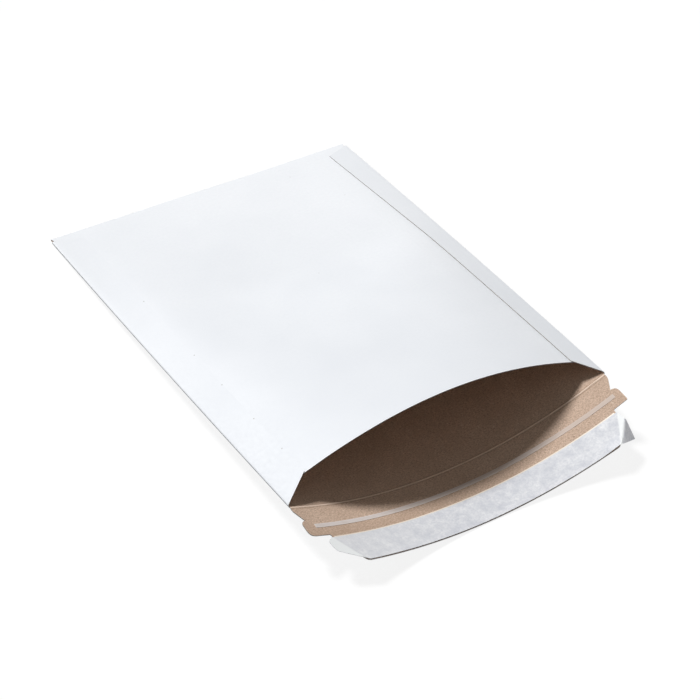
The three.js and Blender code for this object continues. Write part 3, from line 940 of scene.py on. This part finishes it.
@dataclass(frozen=True)
class CreamFilm:
    """The self-seal adhesive's cream film."""

    color: Color = (0.93, 0.86, 0.76)
    cloud: Grain = Grain(4 * MM)
    thin: Tint = Tint((0.84, 0.74, 0.62), (0, 0.6))
    bump: Point = (0.03 * MM, 0.4)
    roughness: Point = (0.25, 0.4)

    def material(self) -> bpy.types.Material:
        """The film's material."""
        r = Recipe("adhesive")
        cloud = r.cloud(self.cloud)
        r.bump(cloud, *self.bump)
        tone = r.tinted(self.color, cloud, self.thin)
        return r.finish(tone, r.ranged(cloud, UNIT, self.roughness))


@dataclass(frozen=True)
class LinerPaper:
    """Smooth coated release paper, faintly mottled, with painted light towards its left end and
    where no board is behind it.
    """

    light: Color = (0.94, 0.95, 0.968)
    dull: Color = (0.582, 0.606, 0.668)
    cloud: Grain = Grain(6 * MM, 5, 0.65, ends=(0.32, 0.68))
    cloud_share: Point = (0.05, 0.8)
    fine: Grain = Grain(1.4 * MM, 3, 0.7, ends=(0.32, 0.68))
    fine_share: Point = (0, 0.6)
    # Painted light towards the left end, which is turned down towards the lamp.
    left_end_painted_light: Tint = Tint((0.94, 0.95, 0.968), (0.42, 0), (-110 * MM, -20 * MM))
    # Painted light where no board is behind the paper, standing in for light through it from below.
    unbacked_painted_light: Tint = Tint((0.96, 0.99, 1.0), (0.95, 0), (-0.8 * MM, 0.2 * MM))
    buckle: Grain = Grain(5 * MM)
    bump: Point = (0.08 * MM, 0.5)
    roughness: Point = (0.46, 0.58)
    specular: float = 0.35

    def material(self) -> bpy.types.Material:
        """The paper's material."""
        r = Recipe("liner_paper")
        cloud = r.cloud(self.cloud)
        tone = r.mixed(r.ranged(cloud, UNIT, self.cloud_share), self.light, self.dull)
        tone = r.mixed(r.cloud(self.fine, self.fine_share), tone, self.dull)
        tone = r.tinted(tone, r.axis("X"), self.left_end_painted_light)
        tone = r.tinted(tone, r.rim(), self.unbacked_painted_light)
        r.bump(r.noise(self.buckle), *self.bump)
        return r.finish(tone, r.ranged(cloud, UNIT, self.roughness), self.specular)


@dataclass(frozen=True)
class PaperEdge:
    """The liner's cut edge, painted grey as shade along the paper's outline."""

    # Painted shade: the white paper's edge darkened to grey.
    color: Color = (0.42, 0.43, 0.46)
    pale: Color = (0.55, 0.56, 0.6)
    cloud: Grain = Grain(2 * MM)
    roughness: float = 0.7

    def material(self) -> bpy.types.Material:
        """The edge's material."""
        r = Recipe("liner_edge")
        return r.finish(r.mixed(r.cloud(self.cloud), self.color, self.pale), self.roughness)


@dataclass
class Piece:
    """What every piece of the pack shares: the board's shape and where the pack stands."""

    shape: MailerShape
    outline: FlapOutline
    offset: Vector

    def settle(self, made: bpy.types.Object, node: str, slot: str) -> None:
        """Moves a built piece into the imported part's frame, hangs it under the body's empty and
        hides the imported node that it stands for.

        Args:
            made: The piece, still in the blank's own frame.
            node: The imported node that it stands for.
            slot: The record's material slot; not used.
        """
        made.data.transform(Matrix.Translation(self.offset))
        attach(made, BODY)
        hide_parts(node)
        log.info("%s: %d faces, for node %s", made.name, len(made.data.polygons), node)

    def reach(self, side: Side, depth: float) -> float:
        """Half width of the flap at a depth from the crease."""
        points = self.outline.points(self.shape, side)
        return float(np.interp(depth, [d for _, d in points], [r for r, _ in points]))

    def flap_columns(self, size: float) -> Array:
        """Places across the flap, about size apart."""
        return steps(-self.outline.shoulder.reach, self.outline.shoulder.reach, size)


@dataclass
class BoardSheet(Piece):
    """The one folded sheet of board, from the flap's tip round to the front panel's edge."""

    middle_cells: int = 72
    glue_cells: int = 5
    fold_cells: int = 9
    long_step: float = 4.5 * MM
    mouth_step: float = 1.1 * MM
    flap_step: float = 1.3 * MM
    crease_reach: float = 2.4  # in crease widths
    crease_cells: int = 8
    closed_cells: int = 10
    rim_rows: Point = (0.7 * MM, 0.25 * MM)
    least_column: float = 0.02 * MM
    least_row: float = 0.04 * MM

    def columns(self) -> Array:
        """Places across the blank, closer together at the seams and round the side folds."""
        shape = self.shape
        seam = {side: shape.fold_start - shape.glue_flap(side) for side in Side}
        share = np.linspace(-1, 1, self.middle_cells + 1)
        gathered = (share + np.sin(share * math.pi / 2)) / 2
        width = seam[Side.RIGHT] + seam[Side.LEFT]
        places = list(-seam[Side.LEFT] + width * (gathered + 1) / 2)
        for side in Side:
            glued = shape.fold_end + shape.glue_flap(side)
            wrap = [
                *np.linspace(seam[side], shape.front_reach, self.glue_cells + 1),
                *np.linspace(shape.fold_start, shape.fold_end, self.fold_cells + 1),
                *np.linspace(shape.fold_end, glued, self.glue_cells + 1),
            ]
            places += [side.value * value for value in wrap]
        return merged(places, self.least_column)

    def blank_outline(self, side: Side) -> tuple[Array, Array]:
        """The blank's half width at each place along it.

        Args:
            side: Which half.

        Returns:
            The places along the blank and the half widths there.
        """
        shape = self.shape
        glued = shape.fold_end + shape.glue_flap(side)
        flap_end = shape.panel_length - shape.glue_end_relief
        points = [(reach, -depth) for reach, depth in self.outline.points(shape, side)][::-1]
        points += [
            (glued, shape.glue_mouth_taper),
            (glued, flap_end - shape.glue_end_taper),
            (shape.fold_start, flap_end),
            (shape.fold_start, shape.front_start),
            (shape.front_reach, shape.front_start + shape.glue_end_relief),
            (shape.front_reach, shape.front_end),
        ]
        return np.array([t for _, t in points]), np.array([reach for reach, _ in points])

    def stations(self) -> Array:
        """Places along the blank at which the sheet has a row."""
        shape = self.shape
        flap_end = shape.panel_length - shape.glue_end_relief
        taper = flap_end - shape.glue_end_taper
        pocket = [
            *steps(0, shape.glue_mouth_taper, self.mouth_step),
            shape.front_setback,
            *steps(shape.glue_mouth_taper, taper, self.long_step),
            *steps(taper, flap_end, self.mouth_step),
            shape.panel_length,
        ]
        reach = self.crease_reach
        near_crease = shape.crease_width * np.linspace(-reach, reach, self.crease_cells + 1)
        outline = [-depth for side in Side for _, depth in self.outline.points(shape, side)]
        front = [
            shape.front_start + shape.panel_length - y for y in pocket if y >= shape.front_setback
        ]
        rim = [shape.front_end - back for back in self.rim_rows]
        closed = np.linspace(shape.panel_length, shape.front_start, self.closed_cells + 1)
        flap = -steps(0, shape.flap_length, self.flap_step)
        places = [*outline, *flap, *near_crease, *pocket, *closed, *front, *rim]
        return merged(places, self.least_row)

    def build(self) -> None:
        """Builds and finishes the sheet, row by row along the blank."""
        shape = self.shape
        sheet = Lamina(-shape.board / 2, shape.board / 2)
        columns = self.columns()
        outline = {side: self.blank_outline(side) for side in Side}
        for t in self.stations():
            left = -np.interp(t, *outline[Side.LEFT])
            right = np.interp(t, *outline[Side.RIGHT])
            s = np.clip(columns, left, right)
            sides = np.minimum(s - left, right - s)
            if t > shape.glue_mouth_taper:
                sides = np.full_like(s, shape.front_end - t)
            rim = np.minimum(sides, t + shape.flap_length)
            sheet.add(shape.sheet_at(s, t), s, t, rim)
        made = sheet.build("board_sheet")
        for finish in (WhiteFace(), KraftFace(), CutEdge()):
            made.data.materials.append(finish.material())
        self.settle(made, "mailer_body", "white_board")


@dataclass
class FlapFilms(Piece):
    """The tear tape and the adhesive, two thin films on the flap's inner face."""

    tape_near: float = 14.5 * MM
    tape_width: float = 3 * MM
    tape_reach: float = 112.7 * MM
    tape_thickness: float = 0.15 * MM
    adhesive_near: float = 25.5 * MM
    adhesive_far: float = 45.8 * MM
    side_margin: float = 1.2 * MM
    adhesive_thickness: float = 0.15 * MM
    gap: float = 0.03 * MM
    column: float = 2.5 * MM
    row: float = 0.5 * MM

    def film(
        self, name: str, near: float, far: float, thickness: float, margin: float | None
    ) -> bpy.types.Object:
        """One film between two depths on the flap.

        Args:
            name: The piece's name.
            near: Its depth on the side of the crease.
            far: Its depth on the side of the tip.
            thickness: How thick it is.
            margin: How far it stops from the flap's outline, or None for the tape's own ends.

        Returns:
            The film.
        """
        low = self.shape.board / 2 + self.gap
        sheet = Lamina(low, low + thickness)
        columns = self.flap_columns(self.column)
        shift = self.outline.tip_shift
        for depth in steps(far, near, self.row):
            ends = (shift - self.tape_reach, shift + self.tape_reach)
            if margin is not None:
                left, right = (self.reach(side, depth) for side in Side)
                ends = (margin - left, right - margin)
            s = np.clip(columns, *ends)
            rim = np.minimum(np.minimum(s - ends[0], ends[1] - s), min(depth - near, far - depth))
            sheet.add(self.shape.sheet_at(s, -depth), s, -depth, rim)
        return sheet.build(name)

    def build(self) -> None:
        """Builds and finishes the tape and the adhesive."""
        tape = (self.tape_near, self.tape_near + self.tape_width, self.tape_thickness, None)
        glue = (self.adhesive_near, self.adhesive_far, self.adhesive_thickness, self.side_margin)
        for name, sizes, finish, node, slot in (
            ("tear_tape", tape, MilkyTape(), "tear_strip", "tear_tape"),
            ("adhesive_film", glue, CreamFilm(), "adhesive_strip", "adhesive"),
        ):
            made = self.film(name, *sizes)
            film = finish.material()
            for _ in Face:
                made.data.materials.append(film)
            self.settle(made, node, slot)


@dataclass(frozen=True)
class LinerEnd:
    """One end of the liner, which turns down about a slanting line.

    Args:
        outline: Depths from the crease, and how far out the end is at each.
        fold_near: Reach and depth at which the fold line starts.
        fold_far: Reach and depth at which it ends.
        turn: How far the paper turns down.
        radius: Radius of the fold.
    """

    outline: tuple[Point, ...]
    fold_near: Point
    fold_far: Point
    turn: float
    radius: float


@dataclass
class ReleaseLiner(Piece):
    """The paper liner over the adhesive, with its two ends turned down past the flap's tip."""

    near: float = 26.5 * MM
    far: float = 46.9 * MM
    thickness: float = 0.2 * MM
    right: LinerEnd = LinerEnd(
        outline=((26.5 * MM, 107.9 * MM), (32.9 * MM, 109 * MM)),
        fold_near=(109 * MM, 32.9 * MM),
        fold_far=(95.8 * MM, 46.9 * MM),
        turn=math.radians(52),
        radius=0.35 * MM,
    )
    left: LinerEnd = LinerEnd(
        outline=(
            (26.5 * MM, 106.3 * MM),
            (29 * MM, 108.9 * MM),
            (32.7 * MM, 108.8 * MM),
            (36.6 * MM, 107.3 * MM),
            (46.9 * MM, 90.6 * MM),
        ),
        fold_near=(105.1 * MM, 26.5 * MM),
        fold_far=(93.3 * MM, 46.9 * MM),
        turn=math.radians(7.7),
        radius=8 * MM,
    )
    lift: float = 0.36 * MM
    edge_lift: float = 0.22 * MM
    edge_width: float = 1.6 * MM
    ripple: Point = (0.65, 0.35)  # its steady and its wavy share
    ripple_waves: Point = (9 * MM, 23 * MM)
    corner_lift: float = 0.9 * MM
    corner_size: Point = (8.5 * MM, 5 * MM)
    turned_rim: float = 1 * MM
    column: float = 2.2 * MM
    row: float = 0.9 * MM
    least_row: float = 0.1 * MM
    tail_cells: int = 8

    def end(self, side: Side) -> LinerEnd:
        """The liner's end on one side."""
        return self.left if side is Side.LEFT else self.right

    def end_reach(self, side: Side, depth: float) -> float:
        """How far out the liner's end is at a depth."""
        return float(np.interp(depth, *zip(*self.end(side).outline)))

    def fold_line(self, side: Side) -> tuple[Array, Array]:
        """The line on the blank about which one end turns down.

        Args:
            side: Which end.

        Returns:
            Its point nearest the crease and its direction, as s and depth.
        """
        ends = (self.end(side).fold_near, self.end(side).fold_far)
        near, far = (np.array((side.value * reach, depth)) for reach, depth in ends)
        return near, (far - near) / np.linalg.norm(far - near)

    def raised(self, s: Array, depth: Array | float) -> Array:
        """Height of the liner over the adhesive: it lifts along its outer edge and at a corner."""
        edge = np.exp(-(self.far - depth) / self.edge_width)
        short, long = self.ripple_waves
        ripple = self.ripple[0] + self.ripple[1] * np.sin(s / short) * np.sin(s / long + 1)
        across, along = self.corner_size
        corner = np.hypot((s - self.right.fold_far[0]) / across, (self.far - depth) / along)
        return self.edge_lift * edge * ripple + self.corner_lift * np.exp(-(corner**2))

    def laid(self, s: Array, depth: Array | float) -> Surface:
        """The liner as it lies over the adhesive, lifted a little along its outer edge."""
        flat = self.shape.back(s, -np.asarray(depth))
        height = self.shape.relief(s, -np.asarray(depth)) + self.raised(s, depth)
        return Surface(flat.at(height), flat.inward)

    def turned(self, side: Side, s: Array, depth: float) -> Surface:
        """The liner beyond one fold line.

        Args:
            side: Which end.
            s: Places across the blank.
            depth: Their depth from the crease.

        Returns:
            Their places after the end has been turned down.
        """
        start, along = self.fold_line(side)
        out = np.array([side.value * abs(along[1]), abs(along[0])])
        flat = np.stack([s, np.full_like(s, depth)], 1)
        foot = start + np.outer((flat - start) @ along, along)
        distance = (flat - foot) @ out
        base = self.laid(foot[:, 0], foot[:, 1])
        here = self.shape.back(foot[:, 0], -foot[:, 1]).points
        near = self.shape.back(foot[:, 0] + out[0] * MM, -(foot[:, 1] + out[1] * MM)).points
        outward = near - here
        outward -= base.inward * (outward * base.inward).sum(1, keepdims=True)
        outward /= np.linalg.norm(outward, axis=1, keepdims=True)
        turn, radius = self.end(side).turn, self.end(side).radius
        angle = np.minimum(distance / radius, turn)[:, None]
        rest = np.maximum(distance - radius * turn, 0)[:, None]
        way = outward * np.cos(angle) - base.inward * np.sin(angle)
        bent = base.points + radius * (outward * np.sin(angle) - base.inward * (1 - np.cos(angle)))
        facing = base.inward * np.cos(angle) + outward * np.sin(angle)
        level = self.laid(s, depth)
        past = (distance > 0)[:, None]
        return Surface(
            np.where(past, bent + way * rest, level.points), np.where(past, facing, level.inward)
        )

    def build(self) -> None:
        """Builds and finishes the liner, row by row from its outer edge."""
        low = self.shape.board / 2 + self.lift - self.thickness / 2
        sheet = Lamina(low, low + self.thickness)
        columns = self.flap_columns(self.column)
        depths = [*steps(self.near, self.far, self.row), self.right.fold_near[1]]
        for depth in merged(depths, self.least_row)[::-1]:
            limits = []
            for side in Side:
                start, along = self.fold_line(side)
                fold = abs(start[0] + along[0] * (depth - start[1]) / along[1])
                limits.append(side.value * min(fold, self.end_reach(side, depth)))
            middle = np.clip(columns, *limits)
            parts = [(middle, self.laid(middle, depth))]
            for side, limit in zip(Side, limits):
                end = side.value * self.end_reach(side, depth)
                past = np.linspace(limit, end, self.tail_cells + 1)[1:][:: side.value]
                tail = (past, self.turned(side, past, depth))
                parts = [tail, *parts] if side is Side.LEFT else [*parts, tail]
            s = np.concatenate([places for places, _ in parts])
            points = np.concatenate([found.points for _, found in parts])
            inward = np.concatenate([found.inward for _, found in parts])
            # How far inside the edge of the board behind it each place lies; where no board is
            # behind, the liner gets painted light, which the turned right tail is held out of.
            backed = np.where(s < 0, self.reach(Side.LEFT, depth), self.reach(Side.RIGHT, depth))
            rim = backed - np.abs(s)
            rim[-self.tail_cells :] = np.maximum(rim[-self.tail_cells :], self.turned_rim)
            sheet.add(Surface(points, inward), s, -depth, rim)
        made = sheet.build("liner")
        paper, cut = LinerPaper().material(), PaperEdge().material()
        for face in Face:
            made.data.materials.append(cut if face is Face.CUT else paper)
        self.settle(made, "release_liner", "liner_paper")


@dataclass(frozen=True)
class Studio:
    """Floor, lamp, backdrop and camera."""

    floor_size: float = 8.0
    floor_drop: float = 0.00002
    floor_color: Color = (0.8, 0.8, 0.8)
    floor_glow: float = 1.08
    shadow_share: float = 0.2
    key_from: Triple = (-0.29, 0.68, 1.0)
    key_distance: float = 2.5
    key_spread: float = math.radians(12)
    key_strength: float = 2.98
    sky: float = 0.16
    sky_color: Color = (1, 0.96, 0.915)
    lens_mm: float = 91.1
    azimuth: float = math.radians(-34.467)
    elevation: float = math.radians(42.413)
    roll: float = math.radians(3.707)
    distance: float = 1.164
    target: Point = (0.00359, 0.12232)
    sensor_mm: float = 36
    clip_end: float = 50

    def in_view(self, nodes: NodeSet) -> Socket:
        """One where the camera looks, directly, by a reflection or through a clear thing."""
        path = nodes.node("LightPath")
        found = path.outputs["Is Camera Ray"]
        for name in ("Is Glossy Ray", "Is Transmission Ray"):
            found = nodes.math("MAXIMUM", found, path.outputs[name])
        return found

    def floor(self) -> None:
        """The pale floor, which shows white but keeps part of the pack's shadow."""
        half, level = self.floor_size / 2, -self.floor_drop
        mesh = bpy.data.meshes.new("floor")
        corners = [(x * half, y * half, level) for x, y in ((-1, -1), (1, -1), (1, 1), (-1, 1))]
        mesh.from_pydata(corners, [], [(0, 1, 2, 3)])
        made = bpy.data.objects.new("floor", mesh)
        bpy.context.scene.collection.objects.link(made)
        material = bpy.data.materials.new("floor")
        material.use_nodes = True
        nodes = NodeSet(material.node_tree)
        plain = nodes.node("BsdfDiffuse", {"Color": (*self.floor_color, 1)})
        glow = nodes.node("Emission", {"Color": WHITE, "Strength": self.floor_glow})
        share = nodes.math("MULTIPLY", self.in_view(nodes), 1 - self.shadow_share)
        mix = nodes.node("MixShader", {0: share, 1: plain.outputs[0], 2: glow.outputs[0]})
        nodes.node("OutputMaterial", {"Surface": mix.outputs[0]})
        mesh.materials.append(material)

    def world(self) -> None:
        """A dim sky for fill, which shows white to the camera."""
        world = bpy.data.worlds.new("studio")
        world.use_nodes = True
        nodes = NodeSet(world.node_tree)
        dim = nodes.node("Background", {"Color": (*self.sky_color, 1), "Strength": self.sky})
        white = nodes.node("Background", {"Color": WHITE, "Strength": 1.0})
        values = {0: self.in_view(nodes), 1: dim.outputs[0], 2: white.outputs[0]}
        nodes.node("OutputWorld", {"Surface": nodes.node("MixShader", values).outputs[0]})
        bpy.context.scene.world = world

    def lamp(self) -> None:
        """The main lamp, high behind the closed end and a little to the left."""
        data = bpy.data.lights.new("key", "SUN")
        data.angle = self.key_spread
        data.energy = self.key_strength
        made = bpy.data.objects.new("key", data)
        way = Vector(self.key_from).normalized()
        made.location = way * self.key_distance
        made.rotation_euler = way.to_track_quat("Z", "Y").to_euler()
        bpy.context.scene.collection.objects.link(made)

    def camera(self, offset: Vector) -> None:
        """The camera, fitted to the photograph's view.

        Args:
            offset: From the blank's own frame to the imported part's frame.
        """
        a, e, roll = self.azimuth, self.elevation, self.roll
        back = Vector((math.sin(a) * math.cos(e), -math.cos(a) * math.cos(e), math.sin(e)))
        right = Vector((math.cos(a), math.sin(a), 0))
        up = back.cross(right)
        level = math.cos(roll) * right + math.sin(roll) * up
        upright = -math.sin(roll) * right + math.cos(roll) * up
        place = Vector((*self.target, 0)) + Vector((offset.x, offset.y, 0)) + back * self.distance
        turned = Matrix((level, upright, back)).transposed().to_4x4()
        data = bpy.data.cameras.new("camera")
        data.lens = self.lens_mm
        data.sensor_width = self.sensor_mm
        data.clip_end = self.clip_end
        made = bpy.data.objects.new("camera", data)
        made.matrix_world = Matrix.Translation(place) @ turned
        bpy.context.scene.collection.objects.link(made)
        bpy.context.scene.camera = made

    def build(self, offset: Vector) -> None:
        """Sets up the whole studio.

        Args:
            offset: From the blank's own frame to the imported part's frame.
        """
        bpy.context.scene.view_settings.view_transform = "Standard"
        self.floor()
        self.world()
        self.lamp()
        self.camera(offset)
        log.info("studio is set up")


def corners(box: tuple[Vector, Vector]) -> list[list[float]]:
    """A box's two corners as plain lists."""
    return [[float(value) for value in corner] for corner in box]


def main() -> None:
    """Builds the pack's pieces in order, then the studio."""
    logging.basicConfig(level=logging.INFO, format="%(message)s")
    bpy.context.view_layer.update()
    shape, outline = MailerShape(), FlapOutline()
    low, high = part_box("mailer_body")
    far = shape.panel_length + shape.closed_fold_radius + shape.board / 2
    nominal = (far - shape.flap_length) / 2
    offset = Vector(((low.x + high.x) / 2, (low.y + high.y) / 2 - nominal, low.z))
    for kind in (BoardSheet, FlapFilms, ReleaseLiner):
        kind(shape, outline, offset).build()
    Studio().build(offset)


if __name__ == "__main__":
    main()
